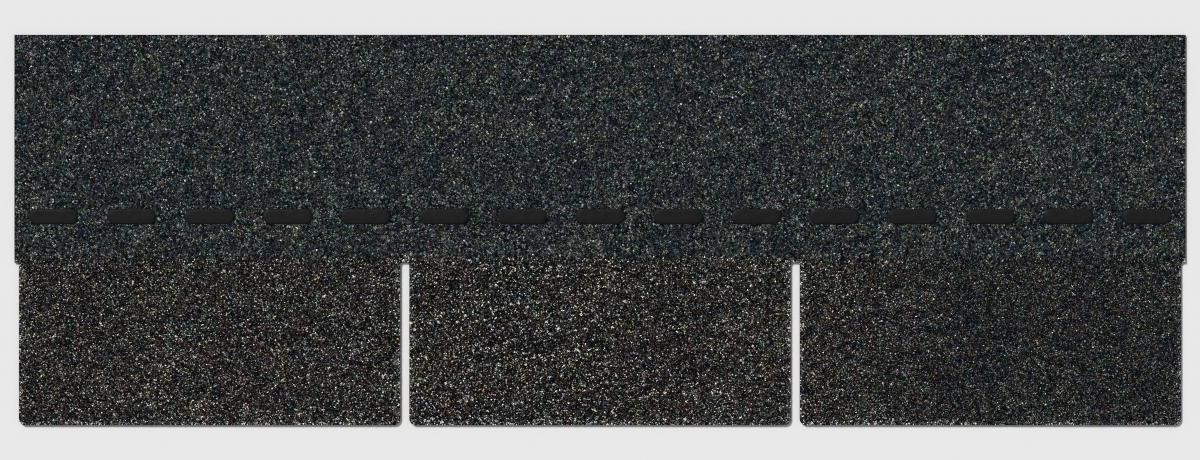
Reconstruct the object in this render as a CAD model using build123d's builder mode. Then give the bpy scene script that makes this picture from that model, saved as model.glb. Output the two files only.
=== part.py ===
# Three-tab asphalt strip shingle, lying face up on its back.
# X runs along the course, +Y runs up the roof and +Z leaves the granule face.
# The origin is the middle of the back. All sizes are in millimetres.

import os

from build123d import *

# Die-cut sheet
tab_count = 3
tab_pitch = 304.8
sheet_depth = 304.8
sheet_thickness = 3.0
tab_corner_radius = 5.0

# Cutouts between the tabs, with half a cutout at each end of the sheet
cutout_width = 7.0
cutout_depth = 127.0
cutout_top_radius = 2.0

# Self-seal adhesive, a row of dashes on the face above the cutouts
dashes_per_tab = 5
dash_length = 40.0
dash_width = 12.0
dash_height = 0.8
dash_shoulder = 0.6
seal_setback = 30.0

# Release tape, a film that lies flush in the back behind the adhesive
tape_width = 38.0
tape_thickness = 0.1

# Places worked out from the sizes above
sheet_length = tab_count * tab_pitch
butt_edge = -sheet_depth / 2
cutout_top = butt_edge + cutout_depth
seal_line = cutout_top + seal_setback + dash_width / 2
dash_count = tab_count * dashes_per_tab
dash_pitch = tab_pitch / dashes_per_tab

os.makedirs("parts", exist_ok=True)


def is_tab_corner(vertex):
    """True for a corner of a tab, on the butt edge."""
    return abs(vertex.Y - butt_edge) < 0.01


def is_cutout_corner(vertex):
    """True for an inner corner at the top of a cutout."""
    inside = abs(vertex.X) < sheet_length / 2 - 0.01
    return inside and abs(vertex.Y - cutout_top) < 0.01


# Outline of the tape, which its seat in the back of the sheet shares
with BuildSketch() as tape_outline:
    with Locations((0, seal_line)):
        Rectangle(sheet_length, tape_width)

# Sheet: one outline with its tabs and cutouts, and a shallow seat for the tape in its back
with BuildPart() as shingle:
    with BuildSketch() as sheet_outline:
        Rectangle(sheet_length, sheet_depth)
        with Locations((0, butt_edge)):
            with GridLocations(tab_pitch, 0, tab_count + 1, 1):
                Rectangle(
                    cutout_width,
                    cutout_depth,
                    align=(Align.CENTER, Align.MIN),
                    mode=Mode.SUBTRACT,
                )
        fillet(sheet_outline.vertices().filter_by(is_tab_corner), tab_corner_radius)
        fillet(sheet_outline.vertices().filter_by(is_cutout_corner), cutout_top_radius)
    extrude(amount=sheet_thickness)
    extrude(tape_outline.sketch, amount=tape_thickness, mode=Mode.SUBTRACT)
shingle.part.label = "shingle"
export_step(shingle.part, "parts/shingle.step")

# Self-seal strip: flat-topped beads with rounded shoulders in a row, as many over each tab
with BuildPart() as self_seal_strip:
    with BuildSketch(Plane.XY.offset(sheet_thickness)) as dash_row:
        with Locations((0, seal_line)):
            with GridLocations(dash_pitch, 0, dash_count, 1):
                SlotOverall(dash_length, dash_width)
    extrude(amount=dash_height)
    dash_tops = self_seal_strip.faces().group_by(Axis.Z)[-1]
    fillet(dash_tops.edges(), dash_shoulder)
self_seal_strip.part.label = "self_seal_strip"
export_step(self_seal_strip.part, "parts/self_seal_strip.step")

# Release tape: a film that fills its seat from end to end, flush with the back
with BuildPart() as release_tape:
    extrude(tape_outline.sketch, amount=tape_thickness)
release_tape.part.label = "release_tape"
export_step(release_tape.part, "parts/release_tape.step")
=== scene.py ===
"""A three-tab asphalt strip shingle, lying face up on a pale floor.

The sheet is black asphalt with coats of crushed stone pressed into its face: blended stones on
the tabs, plain grey ones on the headlap. All lengths are in metres, in the frame of the model.
"""

import math

import bmesh
import bpy
import numpy as np
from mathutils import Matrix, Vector


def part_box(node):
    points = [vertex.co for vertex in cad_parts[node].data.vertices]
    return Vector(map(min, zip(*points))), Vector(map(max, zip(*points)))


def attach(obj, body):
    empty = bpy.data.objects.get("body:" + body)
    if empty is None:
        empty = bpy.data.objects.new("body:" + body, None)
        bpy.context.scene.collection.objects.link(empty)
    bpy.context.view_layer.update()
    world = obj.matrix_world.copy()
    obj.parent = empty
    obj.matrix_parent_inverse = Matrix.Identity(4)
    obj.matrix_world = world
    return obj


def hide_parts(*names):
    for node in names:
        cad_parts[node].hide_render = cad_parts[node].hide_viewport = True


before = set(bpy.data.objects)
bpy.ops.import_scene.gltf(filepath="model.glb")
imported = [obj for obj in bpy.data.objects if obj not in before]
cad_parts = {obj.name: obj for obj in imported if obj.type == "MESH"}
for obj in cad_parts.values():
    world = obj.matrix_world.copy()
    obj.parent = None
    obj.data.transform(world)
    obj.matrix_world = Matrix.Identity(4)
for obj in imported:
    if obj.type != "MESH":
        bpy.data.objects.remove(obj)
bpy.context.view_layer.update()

MM = 0.001

# The sheet and its adhesive dashes, read from the frame
sheet_low, sheet_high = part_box("shingle")
dashes_low, dashes_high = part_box("self_seal_strip")
face_z = sheet_high.z
sheet_length = sheet_high.x - sheet_low.x
sheet_depth = sheet_high.y - sheet_low.y
tab_count = 3
tab_pitch = sheet_length / tab_count
dashes_per_tab = 5

# Levels through the sheet: the coats' undersides, the asphalt and the hollows between stones
coat_base_z = 2.1 * MM
asphalt_z = 2.25 * MM
hollow_low_z = 2.28 * MM
hollow_high_z = 2.45 * MM

# Coats of stones: finer ones on the tabs, coarser ones on the headlap
tab_stone_pitch = 0.96 * MM
lap_stone_pitch = 1.24 * MM

# The stones' lattice: its turn, and the rows it has to spare past the corners of the sheet
lattice_turn = math.radians(39)
spare_rows = 3

# How far the coats' rims lie inside the sheet's edge, and the share of stones that are missing
coat_inset = 0.08 * MM
bare_share = 0.05

# How far a stone's corners and top wander, and a top near the rim, as shares of the pitch
corner_wander = 0.38
top_wander = 0.34
rim_top_wander = 0.10

# How near is near the rim, and the least room from it to a stone's middle, as shares of the pitch
rim_nearness = 2
least_room = 0.1

# The heights of the tops follow a beta distribution, with more of them high than low
top_beta = 2.2, 1.6

# The tabs' blend runs a little above the cutouts and ends in a ragged edge
band_overrun = 4.0 * MM
band_rag = 1.6 * MM
seam_wave = 1.0 * MM
seam_wave_length = 14 * MM

# Random fields: the waves in each, their shortest and longest as shares of the field's length,
# and the height of the sum, in spreads, that counts as 1
wave_count = 14
shortest_wave, longest_wave = 0.7, 1.6
wave_peak = 1.6

# Seeds of the random draws. The layers of a tint's patches count on from its seed by the step,
# and the beads from theirs by one
seam_seed, fleck_seed = 3, 12
red_seed, blue_seed, layer_seed_step = 7, 9, 4
lap_seed, tab_seed = 36, 37
bead_outline_seed, bead_top_seed = 40, 80

# Points of the model's sheet that are this close are one, and points this near its face are on it
merge_gap = 0.001 * MM
level_slack = 0.01 * MM


def wave_field(x, y, length, seed):
    """A smooth random field, about -1 to 1, whose swells are as far apart as length."""
    waves = np.random.default_rng(seed)
    total = np.zeros_like(x)
    for _ in range(wave_count):
        heading = waves.uniform(0, 2 * math.pi)
        pace = 2 * math.pi / (length * waves.uniform(shortest_wave, longest_wave))
        phase = waves.uniform(0, 2 * math.pi)
        total += np.cos(pace * (x * math.cos(heading) + y * math.sin(heading)) + phase)
    return total * math.sqrt(2 / wave_count) / wave_peak


def placed(name, data):
    """A new object in the scene with this mesh, lamp or lens."""
    piece = bpy.data.objects.new(name, data)
    bpy.context.scene.collection.objects.link(piece)
    return piece


# Outline of the face

def face_outline():
    """Edges of the sheet's face as an array of (start, end) points, with the sheet on their left."""
    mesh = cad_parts["shingle"].data
    mesh.calc_loop_triangles()
    co = np.array([v.co for v in mesh.vertices])
    key = np.round(co / merge_gap).astype(int)
    _, first, where = np.unique(key, axis=0, return_index=True, return_inverse=True)
    where = where.reshape(-1)
    triangles = np.array([t.vertices for t in mesh.loop_triangles])
    on_face = (co[triangles][:, :, 2] > face_z - level_slack).all(axis=1)
    used = set()
    for a, b, c in where[triangles[on_face]]:
        used.update(((a, b), (b, c), (c, a)))
    rim = sorted((a, b) for a, b in used if (b, a) not in used)
    return co[first][np.array(rim)][:, :, :2]


def cutout_tops():
    """The level of the cutouts' upper ends: the rim's highest point inside the sheet's box."""
    margin = 1 * MM
    x, y = outline[:, 0].T
    inside = (np.abs(x) < sheet_high.x - margin) & (y < sheet_high.y - margin)
    return y[inside].max()


outline = face_outline()
band_top = cutout_tops() + band_overrun


def room_in_face(points):
    """How far inside the face each point is, negative outside, with its nearest point of the rim."""
    room = np.full(len(points), np.inf)
    nearest = np.zeros((len(points), 2))
    inside = np.zeros(len(points), bool)
    for start, end in outline:
        along = end - start
        length = math.hypot(*along)
        t = np.clip((points - start) @ along / length**2, 0, 1)
        foot = start + t[:, None] * along
        gap = np.hypot(*(points - foot).T)
        closer = gap < room
        room[closer] = gap[closer]
        inward = np.array([-along[1], along[0]]) / length
        nearest[closer] = foot[closer] + inward * coat_inset
        if start[1] != end[1]:
            crosses = (start[1] > points[:, 1]) != (end[1] > points[:, 1])
            x = start[0] + (points[:, 1] - start[1]) * along[0] / along[1]
            inside ^= crosses & (points[:, 0] < x)
    return np.where(inside, room, -room), nearest


def seam_between_coats(x):
    """The level of the wavy seam between the two coats, at each x."""
    return band_top + seam_wave * wave_field(x, 0 * x, seam_wave_length, seam_seed)


# Stones of the coats

def turned_lattice(pitch):
    """Points of a square lattice over the sheet, turned off its axes so that no rows show."""
    reach = int(math.hypot(sheet_length, sheet_depth) / 2 / pitch) + spare_rows
    steps = np.arange(-reach, reach + 1) * pitch
    cos, sin = math.cos(lattice_turn), math.sin(lattice_turn)
    return np.stack(np.meshgrid(steps, steps, indexing="ij"), axis=-1) @ [[cos, sin], [-sin, cos]]


class Stones:
    """One coat's stones: four-sided cells of a wandering lattice, with a peak in each."""

    def __init__(self, pitch, on_tabs, seed):
        self.pitch, self.on_tabs = pitch, on_tabs
        self.rng = np.random.default_rng(seed)
        lattice = turned_lattice(pitch)
        self.lay_cells((lattice[:-1, :-1] + lattice[1:, 1:]) / 2)
        self.corners = self.wandering_corners(lattice)
        self.corner_z = self.rng.uniform(hollow_low_z, hollow_high_z, lattice.shape[:2])

        # Each stone's ring of corners, counted along the rows of the lattice
        self.cells = np.nonzero(self.laid)
        row, column = self.cells
        stride = lattice.shape[1]
        first = row * stride + column
        self.ring = np.stack([first, first + stride, first + stride + 1, first + 1], axis=1)

        self.x, self.y = self.corners.reshape(-1, 2)[self.ring].mean(axis=1).T
        self.third = ((self.x - sheet_low.x) / tab_pitch).astype(int).clip(0, tab_count - 1)
        self.raise_tops()

    def past_seam(self, x, y):
        """How far each point is on this coat's side of the seam between the coats."""
        seam = seam_between_coats(x)
        return seam - y if self.on_tabs else y - seam

    def lay_cells(self, centres):
        """Keeps the cells inside the coat, with how far in from the rims each one lies."""
        near = (np.abs(centres) < (sheet_high.x, sheet_high.y)).all(axis=-1)
        near &= self.past_seam(centres[..., 0], centres[..., 1]) > 0
        face_room, _ = room_in_face(centres[near])
        coat_room = np.minimum(face_room, self.past_seam(*centres[near].T))
        kept = coat_room > least_room * self.pitch
        self.laid = near.copy()
        self.laid[near] = kept
        self.face_room, self.coat_room = face_room[kept], coat_room[kept]

    def nearest_rim(self, points):
        """The point of this coat's rim that is nearest to each point."""
        face_room, nearest = room_in_face(points)
        at_seam = self.past_seam(*points.T) < face_room
        nearest[at_seam, 0] = points[at_seam, 0]
        nearest[at_seam, 1] = seam_between_coats(points[at_seam, 0])
        return nearest

    def wandering_corners(self, lattice):
        """Corners moved at random, and onto the rim where only some of their four cells are laid."""
        around = np.zeros(lattice.shape[:2], int)
        rows, columns = self.laid.shape
        for di in (0, 1):
            for dj in (0, 1):
                around[di:di + rows, dj:dj + columns] += self.laid
        on_rim = (around > 0) & (around < 4)
        angle = self.rng.uniform(0, 2 * math.pi, around.shape)
        shift = corner_wander * self.pitch * np.sqrt(self.rng.uniform(0, 1, around.shape))
        moved = lattice + np.stack([np.cos(angle), np.sin(angle)], axis=-1) * shift[..., None]
        moved[on_rim] = self.nearest_rim(lattice[on_rim])
        return moved

    def raise_tops(self):
        """Places each stone's top. Where a stone is missing, the asphalt lies low and bare."""
        count = len(self.x)
        angle = self.rng.uniform(0, 2 * math.pi, count)
        wander = np.where(self.coat_room < rim_nearness * self.pitch, rim_top_wander, top_wander)
        shift = wander * self.pitch * self.rng.uniform(0, 1, count)
        self.bare = self.rng.uniform(0, 1, count) < bare_share
        rise = np.where(self.bare, 0, self.rng.beta(*top_beta, count))
        self.tops = np.column_stack([
            self.x + shift * np.cos(angle),
            self.y + shift * np.sin(angle),
            hollow_high_z + (face_z - hollow_high_z) * rise,
        ])


# Tones of the stones: their median, and the spread of the logarithm by stone and by facet. The spread
# by facet is partly the facets' own mineral tones and partly painted glint
tab_tone, tab_spread, tab_facet_spread = 0.0334, 1.27, 0.9
lap_tone, lap_spread, lap_facet_spread = 0.0421, 0.85, 0.75
dimmest, brightest = 0.0005, 0.9
asphalt_tone = 0.003

# From this many spreads over the median, a stone is pale all over: its facets differ less
pale_chance, pale_facet_share = 1.4, 0.25

# Flecks of paler stones on the tabs, where a random field rises over its least height
fleck_rise, fleck_length, fleck_least = 1.5, 4.5 * MM, 0.9

# Painted highlight: the tabs' stones are lighter along their cut edges, as edges that catch the light
rim_highlight_rise, rim_highlight_reach = 1.0, 3.2 * MM

# The right tab fades to a darker, cooler and more even blend
fade_start, fade_length = 175 * MM, 110 * MM
fade_spread, fade_fall = 0.28, 0.14

# The middle tab has brighter pale stones among slightly darker ones, and stronger flecks
pale_middle, pale_reach = -65 * MM, 130 * MM
pale_spread, pale_fall, pale_fleck_rise = 0.17, 0.16, 4.5

# Tints as red, green and blue, and the spread of their logarithms by stone
tab_tint = np.array([1.06, 1.0, 0.895])
cool_tint = np.array([0.91, 1.0, 1.0])
lap_tint = np.array([0.78, 1.02, 1.06])
red_spread, blue_spread = 0.04, 0.04

# Patches of redder and of bluer stones, in layers: each one's width in lengths, and its weight
red_length, blue_length = 11 * MM, 10 * MM
patch_swing = 0.155
patch_layers = (1, 1.0), (3, 0.6), (9, 0.3)

# Tints hold as stated at this tone, and are stronger on darker stones and weaker on paler ones
tint_tone, strength_growth = 0.032, 0.4
least_strength, most_strength = 0.35, 2.0

# Bluer patches are darker, because they have fewer cream stones
blue_fall = 1.5


def tint_patches(x, y, length, seed):
    """How much redder or bluer each point is, from patches that lie on wider ones."""
    patches = 0
    for layer, (width, weight) in enumerate(patch_layers):
        patches += weight * wave_field(x, y, width * length, seed + layer * layer_seed_step)
    return patch_swing * patches


def stone_tones(stones, blended, fade, blue_patch):
    """A tone for each facet of each stone, as an array of facet and stone."""
    x, y, rng = stones.x, stones.y, stones.rng
    count = len(x)
    pale = np.exp(-(((x - pale_middle) / pale_reach) ** 2))
    fleck = np.maximum(wave_field(x, y, fleck_length, fleck_seed) - fleck_least, 0)
    fleck *= fleck_rise + pale_fleck_rise * pale
    # Painted highlight: stones near the tabs' cut edges are lightened, as edges that catch the light
    painted_rim_highlight = rim_highlight_rise * np.exp(-((stones.face_room / rim_highlight_reach) ** 2))
    tab_level = math.log(tab_tone) + fleck + painted_rim_highlight - pale_fall * pale - fade_fall * fade
    level = np.where(blended, tab_level, math.log(lap_tone)) - blue_fall * blue_patch

    chance = rng.normal(0, 1, count)
    spread = np.where(blended, tab_spread + pale_spread * pale - fade_spread * fade, lap_spread)
    # Facets of one stone differ in tone partly by their minerals and partly as painted glint
    facet_spread = np.where(blended, tab_facet_spread, lap_facet_spread)
    facet_spread[chance > pale_chance] *= pale_facet_share
    # The last term keeps the mean of a stone's facets at the stone's own tone
    facets = facet_spread * rng.normal(0, 1, (4, count)) - facet_spread**2 / 2
    tones = np.exp(level + spread * chance + facets).clip(dimmest, brightest)
    tones[:, stones.bare] = asphalt_tone
    return tones


def stone_colours(stones):
    """Four facet colours for each stone, as an array of facet, stone and channel."""
    x, y, rng = stones.x, stones.y, stones.rng
    count = len(x)
    blended = y + rng.normal(0, band_rag, count) < band_top
    fade = np.clip((x - fade_start) / fade_length, 0, 1)
    red_patch = tint_patches(x, y, red_length, red_seed)
    blue_patch = tint_patches(x, y, blue_length, blue_seed)
    tones = stone_tones(stones, blended, fade, blue_patch)

    red = red_patch + red_spread * rng.normal(0, 1, count)
    blue = blue_patch + blue_spread * rng.normal(0, 1, count)
    tint = np.where(blended[:, None], tab_tint + (cool_tint - tab_tint) * fade[:, None], lap_tint)
    shift = np.log(tint) + np.column_stack([red, np.zeros(count), blue])
    strength = ((tint_tone / tones) ** strength_growth).clip(least_strength, most_strength)
    return (tones[:, :, None] * np.exp(shift * strength[:, :, None])).clip(0, brightest)


# Pieces of the coats

def rim_loop(edges):
    """The corners in order round a closed rim, from its directed edges."""
    follow = dict(edges)
    loop = [edges[0][0]]
    while follow[loop[-1]] != loop[0]:
        loop.append(follow[loop[-1]])
    return loop


def rim_edges(stones, third, ring):
    """The directed outer edges of the cells of one third, as pairs of its corners."""
    # The steps to the cells across a cell's four sides, in the order of its ring of corners
    neighbours = (0, -1), (1, 0), (0, 1), (-1, 0)
    owner = np.full(stones.laid.shape, -1)
    owner[stones.cells] = stones.third
    row, column = (index[stones.third == third] for index in stones.cells)
    edges = []
    for side, (di, dj) in enumerate(neighbours):
        ends_here = owner[row + di, column + dj] != third
        edges += zip(ring[ends_here, side].tolist(), ring[ends_here, (side + 1) % 4].tolist())
    return edges


def add_bake_map(mesh, points, facet_count, rim_count):
    """Maps the facets as seen from above, with the skirt and the underside in strips beside them."""
    facet_share = 0.94
    skirt_low, skirt_high = 0.955, 0.965
    underside_low, underside_high = 0.98, 1.0
    corner = np.empty(len(mesh.loops), np.int32)
    mesh.loops.foreach_get("vertex_index", corner)
    place = points[corner, :2]
    uv = ((place - place.min(axis=0)) / np.ptp(place, axis=0)).astype(np.float32)
    facets, skirt, underside = np.split(uv, [3 * facet_count, 3 * facet_count + 4 * rim_count])
    facets[:, 1] *= facet_share
    skirt[:, 0] = (np.arange(rim_count)[:, None] + (0, 1, 1, 0)).ravel() / rim_count
    skirt[:, 1] = np.tile((skirt_low, skirt_low, skirt_high, skirt_high), rim_count)
    underside[:, 1] = underside_low + (underside_high - underside_low) * underside[:, 1]
    mesh.uv_layers.new(name="OFBake").uv.foreach_set("vector", uv.ravel())


def add_stone_attributes(mesh, colours, grain, peak):
    """Each facet's colour and its stone's grain, plain asphalt for the rest, and where peaks are."""
    face_colour = np.full((len(mesh.polygons), 4), asphalt_tone)
    facets = face_colour[:len(colours) * len(grain)]
    facets[:, :3] = colours.reshape(-1, 3)
    facets[:, 3] = np.tile(grain, len(colours))
    mesh.attributes.new("stone", "FLOAT_COLOR", "FACE").data.foreach_set("color", face_colour.ravel())
    crest = np.zeros(len(mesh.vertices))
    crest[peak] = 1
    mesh.attributes.new("crest", "FLOAT", "POINT").data.foreach_set("value", crest)


def stone_coat(name, stones, colours, third):
    """One closed mesh of a third of a coat: facets, a skirt round the rim and a flat underside."""
    mine = stones.third == third
    used, ring = np.unique(stones.ring[mine], return_inverse=True)
    ring = ring.reshape(-1, 4)
    low = np.column_stack([stones.corners.reshape(-1, 2), stones.corner_z.reshape(-1)])[used]
    tops = stones.tops[mine]
    peak = len(low) + np.arange(len(tops))
    facets = np.concatenate([
        np.stack([ring[:, side], ring[:, (side + 1) % 4], peak], axis=1) for side in range(4)
    ])
    edges = rim_edges(stones, third, ring)
    loop = rim_loop(edges)
    under = low[loop]
    under[:, 2] = coat_base_z
    foot = {corner: len(low) + len(tops) + n for n, corner in enumerate(loop)}
    skirt = [(foot[a], foot[b], b, a) for a, b in edges]
    underside = tuple(foot[corner] for corner in reversed(loop))
    points = np.concatenate([low, tops, under])
    mesh = bpy.data.meshes.new(name)
    mesh.from_pydata(points, [], facets.tolist() + skirt + [underside])
    add_bake_map(mesh, points, len(facets), len(edges))
    grain = stones.rng.uniform(0, 1, len(tops))
    add_stone_attributes(mesh, colours[:, mine], grain, peak)
    return placed(name, mesh)


def stone_coats():
    """The coats on the tabs and on the headlap, each in a left, a middle and a right piece."""
    coats = []
    for place, pitch, on_tabs, seed in (
        ("tab", tab_stone_pitch, True, tab_seed),
        ("headlap", lap_stone_pitch, False, lap_seed),
    ):
        stones = Stones(pitch, on_tabs, seed)
        colours = stone_colours(stones)
        for third, side in enumerate(("left", "middle", "right")):
            coats.append(stone_coat(f"granules_{side}_{place}", stones, colours, third))
    return coats


# Asphalt sheet under the coats

def asphalt_sheet():
    """The model's sheet with its face let down to the asphalt, and flat faces made whole."""
    flat_angle = math.radians(0.5)
    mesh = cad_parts["shingle"].data.copy()
    mesh.name = "asphalt_sheet"
    shape = bmesh.new()
    shape.from_mesh(mesh)
    bmesh.ops.remove_doubles(shape, verts=shape.verts, dist=merge_gap)
    for vertex in shape.verts:
        if vertex.co.z > face_z - level_slack:
            vertex.co.z = asphalt_z
    bmesh.ops.dissolve_limit(shape, angle_limit=flat_angle, verts=shape.verts, edges=shape.edges)
    shape.to_mesh(mesh)
    shape.free()
    return placed("asphalt_sheet", mesh)


# Self-seal beads: a slot-shaped outline, a rounded shoulder and an uneven top
bead_shoulder = 0.6 * MM
bead_sink = 0.25 * MM
outline_play = 0.05
top_play = 0.22
bead_wave = 8 * MM

# Points round a bead, and the sizes of its rings as shares of its outline, closer near its rim
bead_rim_points = 80
bead_ring_count, ring_crowding = 7, 0.8
bead_rings = np.linspace(1, 0, bead_ring_count + 1)[:-1] ** ring_crowding


def slot_rim(half_length, half_width):
    """Points in order round a slot-shaped outline about the origin."""
    straight = 2 * (half_length - half_width)
    half_round = straight + math.pi * half_width
    rim = []
    for way in np.linspace(0, 2 * half_round, bead_rim_points, endpoint=False):
        half, along = divmod(way, half_round)
        turn = max(along - straight, 0) / half_width
        x = straight / 2 - min(along, straight) - half_width * math.sin(turn)
        y = half_width * math.cos(turn)
        rim.append((x, y) if half == 0 else (-x, -y))
    return np.array(rim)


def dents(x, y, number, seed):
    """How deep one bead is dented at each point, from 0 to 1."""
    return (0.5 + 0.5 * wave_field(x + number, y, bead_wave, seed + number)).clip(0, 1)


def bead_points(half_length, half_width, number):
    """One bead's points: a foot ring among the stones, rings up over the shoulder, and the middle."""
    height = dashes_high.z - face_z + bead_sink
    rim = slot_rim(half_length, half_width)
    rim *= 1 - outline_play * dents(*rim.T, number, bead_outline_seed)[:, None]
    rings = [np.column_stack([rim, np.full(len(rim), coat_base_z)])]
    for share in bead_rings:
        x, y = (rim * share).T
        over = np.maximum(np.abs(x) - (half_length - half_width), 0)
        room = np.maximum(half_width - np.hypot(over, y), 0)
        rise = 1 - np.exp(-room / bead_shoulder)
        z = face_z - bead_sink + height * rise * (1 - top_play * dents(x, y, number, bead_top_seed))
        rings.append(np.column_stack([x, y, z]))
    middle = rings[-1].mean(axis=0)
    return np.concatenate([*rings, [middle]])


def bead_faces(base):
    """Quads between one bead's rings, triangles to its middle, and its flat underside."""
    count = bead_rim_points
    faces = []
    for ring in range(len(bead_rings)):
        for n in range(count):
            a, b = base + ring * count, base + (ring + 1) * count
            m = (n + 1) % count
            faces.append((a + n, a + m, b + m, b + n))
    inner = base + len(bead_rings) * count
    faces += [(inner + n, inner + (n + 1) % count, inner + count) for n in range(count)]
    faces.append(tuple(base + n for n in reversed(range(count))))
    return faces


def seal_beads():
    """One mesh of all the beads, in the places of the model's dashes."""
    dash_count = tab_count * dashes_per_tab
    dash_pitch = sheet_length / dash_count
    half_width = (dashes_high.y - dashes_low.y) / 2
    half_length = (dashes_high.x - dashes_low.x) / 2 - dash_pitch * (dash_count - 1) / 2
    line_y = (dashes_high.y + dashes_low.y) / 2
    points, faces = [], []
    for number in range(dash_count):
        faces += bead_faces(len(points))
        middle_x = (number - (dash_count - 1) / 2) * dash_pitch
        points += (bead_points(half_length, half_width, number) + (middle_x, line_y, 0)).tolist()
    mesh = bpy.data.meshes.new("seal_beads")
    mesh.from_pydata(points, [], faces)
    mesh.shade_smooth()
    return placed("seal_beads", mesh)


# Materials

# Most of a noise lies between these values, and it hardly changes along an axis with this grain
noise_low, noise_high = 0.3, 0.7
unchanging = 1.0


class Nodes:
    """Short calls for making one material's node tree."""

    def __init__(self, name):
        self.material = bpy.data.materials.new(name)
        self.material.use_nodes = True
        self.tree = self.material.node_tree
        self.shader = self.tree.nodes["Principled BSDF"]

    def add(self, kind, **values):
        node = self.tree.nodes.new(kind)
        for key, value in values.items():
            setattr(node, key, value)
        return node

    def link(self, source, target):
        self.tree.links.new(source, target)

    def place(self):
        """Each point's place in the frame of the model."""
        return self.add("ShaderNodeTexCoord").outputs["Object"]

    def attribute(self, name, output="Color"):
        return self.add("ShaderNodeAttribute", attribute_name=name).outputs[output]

    def maths(self, operation, a, b=0.0):
        node = self.add("ShaderNodeMath", operation=operation)
        for socket, value in zip(node.inputs, (a, b)):
            if isinstance(value, float):
                socket.default_value = value
            else:
                self.link(value, socket)
        return node.outputs[0]

    def noise(self, grain, detail=3.0):
        """Noise whose grain is one length, or a length for each of X, Y and Z."""
        mapping = self.add("ShaderNodeMapping")
        grains = grain if isinstance(grain, tuple) else (grain, grain, grain)
        mapping.inputs["Scale"].default_value = [1 / length for length in grains]
        self.link(self.place(), mapping.inputs["Vector"])
        node = self.add("ShaderNodeTexNoise")
        node.inputs["Scale"].default_value = 1.0
        node.inputs["Detail"].default_value = detail
        self.link(mapping.outputs["Vector"], node.inputs["Vector"])
        return node.outputs["Fac"]

    def span(self, value, low, high, to_low=0.0, to_high=1.0):
        """The value kept between low and high, and stretched to run from to_low to to_high."""
        node = self.add("ShaderNodeMapRange")
        self.link(value, node.inputs["Value"])
        ends = {"From Min": low, "From Max": high, "To Min": to_low, "To Max": to_high}
        for key, number in ends.items():
            node.inputs[key].default_value = number
        return node.outputs["Result"]

    def noise_between(self, to_low, to_high, grain, detail=3.0):
        """Noise stretched to run from to_low to to_high."""
        return self.span(self.noise(grain, detail), noise_low, noise_high, to_low, to_high)

    def mix(self, factor, a, b, blend="MIX"):
        node = self.add("ShaderNodeMix", data_type="RGBA", blend_type=blend)
        for name, value in (("Factor_Float", factor), ("A_Color", a), ("B_Color", b)):
            socket = next(s for s in node.inputs if s.identifier == name)
            if isinstance(value, (tuple, float)):
                socket.default_value = value
            else:
                self.link(value, socket)
        return next(s for s in node.outputs if s.identifier == "Result_Color")

    def colour(self, source):
        self.link(source, self.shader.inputs["Base Color"])

    def roughness(self, source):
        self.link(source, self.shader.inputs["Roughness"])

    def bump(self, height, distance, strength):
        node = self.add("ShaderNodeBump")
        node.inputs["Distance"].default_value = distance
        node.inputs["Strength"].default_value = strength
        self.link(height, node.inputs["Height"])
        self.link(node.outputs["Normal"], self.shader.inputs["Normal"])

    def set(self, **values):
        """Sets inputs of the shader by their names, with underscores for the spaces."""
        for key, value in values.items():
            self.shader.inputs[key.replace("_", " ")].default_value = value


def grey(value):
    return (value, value, value, 1)


def granule_material():
    """Stones in their own mottled colours, parted by ragged lines of the asphalt that holds them."""
    line_colour = (0.0034, 0.003, 0.0026, 1)
    n = Nodes("crushed stone granules")
    mottle = n.noise_between(0.72, 1.28, grain=0.38 * MM, detail=2)
    speckled = n.mix(1.0, n.attribute("stone"), mottle, blend="MULTIPLY")
    ragged = n.noise_between(-0.14, 0.14, grain=0.42 * MM, detail=2)
    above_line = n.span(n.maths("ADD", n.attribute("crest", "Fac"), ragged), low=0.08, high=0.2)
    n.colour(n.mix(above_line, line_colour, speckled))
    n.roughness(n.span(n.attribute("stone", "Alpha"), 0, 1, to_low=0.62, to_high=0.95))
    n.set(Specular_IOR_Level=0.02)
    n.bump(n.noise(grain=0.24 * MM), distance=0.05 * MM, strength=0.6)
    return n.material


def cut_edge_material():
    """Black asphalt, cut through, with the broken pale line of the glass mat half way up."""
    mat_z, mat_half, mat_fade = 1.15 * MM, 0.12 * MM, 0.3 * MM
    mat_colour = (0.07, 0.065, 0.058, 1)
    n = Nodes("cut asphalt edge")
    height = n.add("ShaderNodeSeparateXYZ")
    n.link(n.place(), height.inputs["Vector"])
    off_mat = n.maths("ABSOLUTE", n.maths("SUBTRACT", height.outputs["Z"], mat_z))
    mat_line = n.span(off_mat, mat_half, mat_fade, to_low=1.0, to_high=0.0)
    breaks = n.span(n.noise(grain=1.1 * MM), low=0.35, high=0.6, to_low=0.2)
    broken = n.maths("MULTIPLY", mat_line, breaks)
    tone = n.mix(n.noise(grain=0.67 * MM), grey(0.008), grey(0.03))
    n.colour(n.mix(broken, tone, mat_colour))
    n.set(Roughness=0.6, Specular_IOR_Level=0.3)
    n.bump(n.noise(grain=0.55 * MM), distance=0.1 * MM, strength=0.8)
    return n.material


def sand_on_asphalt(n, bare, sand):
    """Asphalt dusted with fine sand and coarser flecks, thicker in streaks along the course."""
    fine = n.span(n.noise(grain=0.5 * MM, detail=4), low=0.42, high=0.66)
    flecks = n.span(n.noise(grain=1.7 * MM), low=0.57, high=0.66)
    dust = n.maths("MAXIMUM", fine, flecks)
    streaks = n.noise_between(0.35, 1.0, grain=(160 * MM, 7 * MM, unchanging))
    clouds = n.span(n.noise(grain=24 * MM, detail=4), low=0.35, high=0.65, to_low=0.45)
    cover = n.maths("MULTIPLY", dust, n.maths("MULTIPLY", streaks, clouds))
    return n.mix(cover, bare, sand), dust


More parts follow.
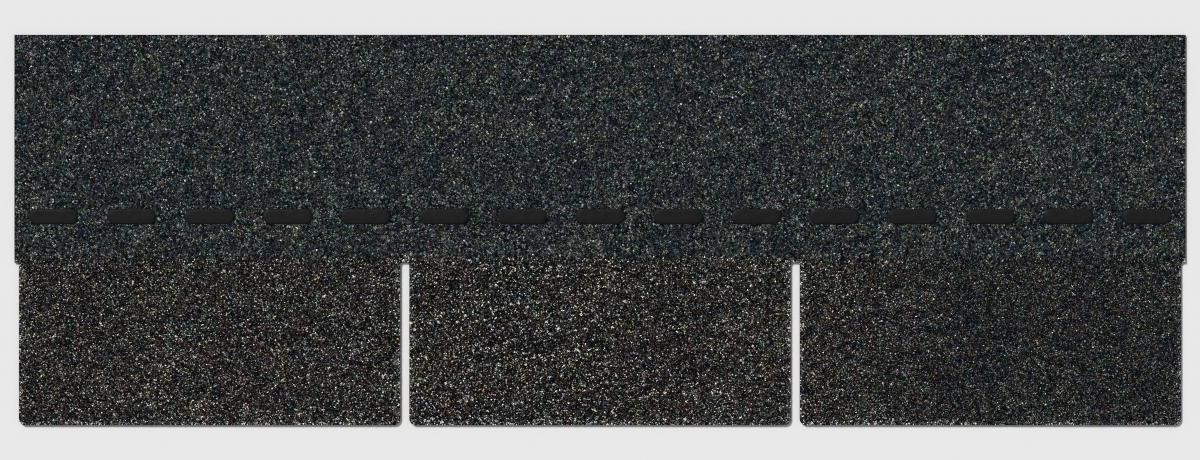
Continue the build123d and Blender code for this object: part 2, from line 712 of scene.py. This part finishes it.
def sanded_back_material():
    n = Nodes("sanded asphalt back")
    tone, dust = sand_on_asphalt(n, bare=grey(0.012), sand=(0.15, 0.142, 0.128, 1))
    n.colour(tone)
    n.set(Roughness=0.85, Specular_IOR_Level=0.15)
    n.bump(dust, distance=0.12 * MM, strength=0.6)
    return n.material


def film_material():
    """Thin clear film: the sanded asphalt shows through it, milky, and stands up under it."""
    n = Nodes("release film")
    beneath, dust = sand_on_asphalt(n, bare=grey(0.03), sand=grey(0.12))
    n.colour(beneath)
    n.set(Roughness=0.42, Specular_IOR_Level=0.25)
    wrinkles = n.noise(grain=(60 * MM, 5 * MM, unchanging))
    n.bump(n.maths("ADD", dust, wrinkles), distance=0.12 * MM, strength=0.5)
    return n.material


def sealant_material():
    """Black adhesive, softly shiny, with dust caught in it and lengthwise ripples."""
    n = Nodes("sealing asphalt")
    dust = n.span(n.noise(grain=0.6 * MM), low=0.56, high=0.72, to_high=0.5)
    n.colour(n.mix(dust, (0.006, 0.006, 0.0062, 1), grey(0.03)))
    n.roughness(n.noise_between(0.4, 0.7, grain=6 * MM))
    n.set(Specular_IOR_Level=0.1)
    ripples = n.noise(grain=(6 * MM, 2 * MM, 2 * MM), detail=4)
    n.bump(ripples, distance=0.3 * MM, strength=0.7)
    return n.material


def floor_material():
    n = Nodes("pale floor")
    n.set(Base_Color=grey(0.8), Roughness=0.9, Specular_IOR_Level=0.0)
    return n.material


def dress(piece, material, below=None):
    """Gives the piece its material, and another one below if it has one."""
    mesh = piece.data
    mesh.materials.clear()
    mesh.materials.append(material)
    if below:
        mesh.materials.append(below)
        for face in mesh.polygons:
            looks_down = face.normal.z < -0.5
            face.material_index = int(looks_down)


# The pieces, dressed and set on the body they ride on

granules = granule_material()
for coat in stone_coats():
    dress(coat, granules)
    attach(coat, "root")

sheet = asphalt_sheet()
dress(sheet, cut_edge_material(), sanded_back_material())
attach(sheet, "root")
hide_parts("shingle")

beads = seal_beads()
dress(beads, sealant_material())
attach(beads, "root")
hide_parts("self_seal_strip")

dress(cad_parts["release_tape"], film_material())


# Floor, light and camera

def pale_floor():
    reach = 12.0
    drop = 0.02 * MM
    mesh = bpy.data.meshes.new("floor")
    corners = ((-1, -1), (1, -1), (1, 1), (-1, 1))
    mesh.from_pydata([(x * reach, y * reach, -drop) for x, y in corners], [], [(0, 1, 2, 3)])
    floor = placed("floor", mesh)
    dress(floor, floor_material())


def broad_sun():
    """A soft-edged sun from the upper left."""
    height, heading = math.radians(46), math.radians(130)
    lamp = bpy.data.lights.new("sun", "SUN")
    lamp.energy = 3.0
    lamp.angle = math.radians(14)
    towards = Vector((
        math.cos(height) * math.cos(heading),
        math.cos(height) * math.sin(heading),
        math.sin(height),
    ))
    placed("sun", lamp).rotation_euler = towards.to_track_quat("Z", "Y").to_euler()


def even_sky():
    """An even light on the object, which the camera and reflections see as a pale backdrop."""
    light, backdrop = 0.33, 0.8
    world = bpy.data.worlds.new("studio")
    world.use_nodes = True
    nodes, links = world.node_tree.nodes, world.node_tree.links
    path = nodes.new("ShaderNodeLightPath")
    seen = path.outputs["Is Camera Ray"]
    for ray in ("Is Glossy Ray", "Is Transmission Ray"):
        either = nodes.new("ShaderNodeMath")
        either.operation = "MAXIMUM"
        links.new(seen, either.inputs[0])
        links.new(path.outputs[ray], either.inputs[1])
        seen = either.outputs[0]
    strength = nodes.new("ShaderNodeMapRange")
    strength.inputs["To Min"].default_value = light
    strength.inputs["To Max"].default_value = backdrop
    links.new(seen, strength.inputs["Value"])
    sky = nodes["Background"]
    sky.inputs["Color"].default_value = grey(1.0)
    links.new(strength.outputs["Result"], sky.inputs["Strength"])
    bpy.context.scene.world = world


def overhead_camera():
    """Straight above the sheet, at the scale of the photograph."""
    photo_width, photo_tab_pitch = 1200, 390.5
    view_width = tab_pitch * photo_width / photo_tab_pitch
    lens = bpy.data.cameras.new("camera")
    lens.lens = 135
    lens.sensor_width = 36
    camera = placed("camera", lens)
    camera.location = (0, 0, face_z + view_width * lens.lens / lens.sensor_width)
    bpy.context.scene.camera = camera


pale_floor()
broad_sun()
even_sky()
overhead_camera()
bpy.context.scene.view_settings.view_transform = "Standard"

# The stones are about as fine as a pixel, so the picture is left undenoised and sharply filtered
bpy.context.scene.cycles.use_denoising = False
bpy.context.scene.cycles.filter_width = 1.0
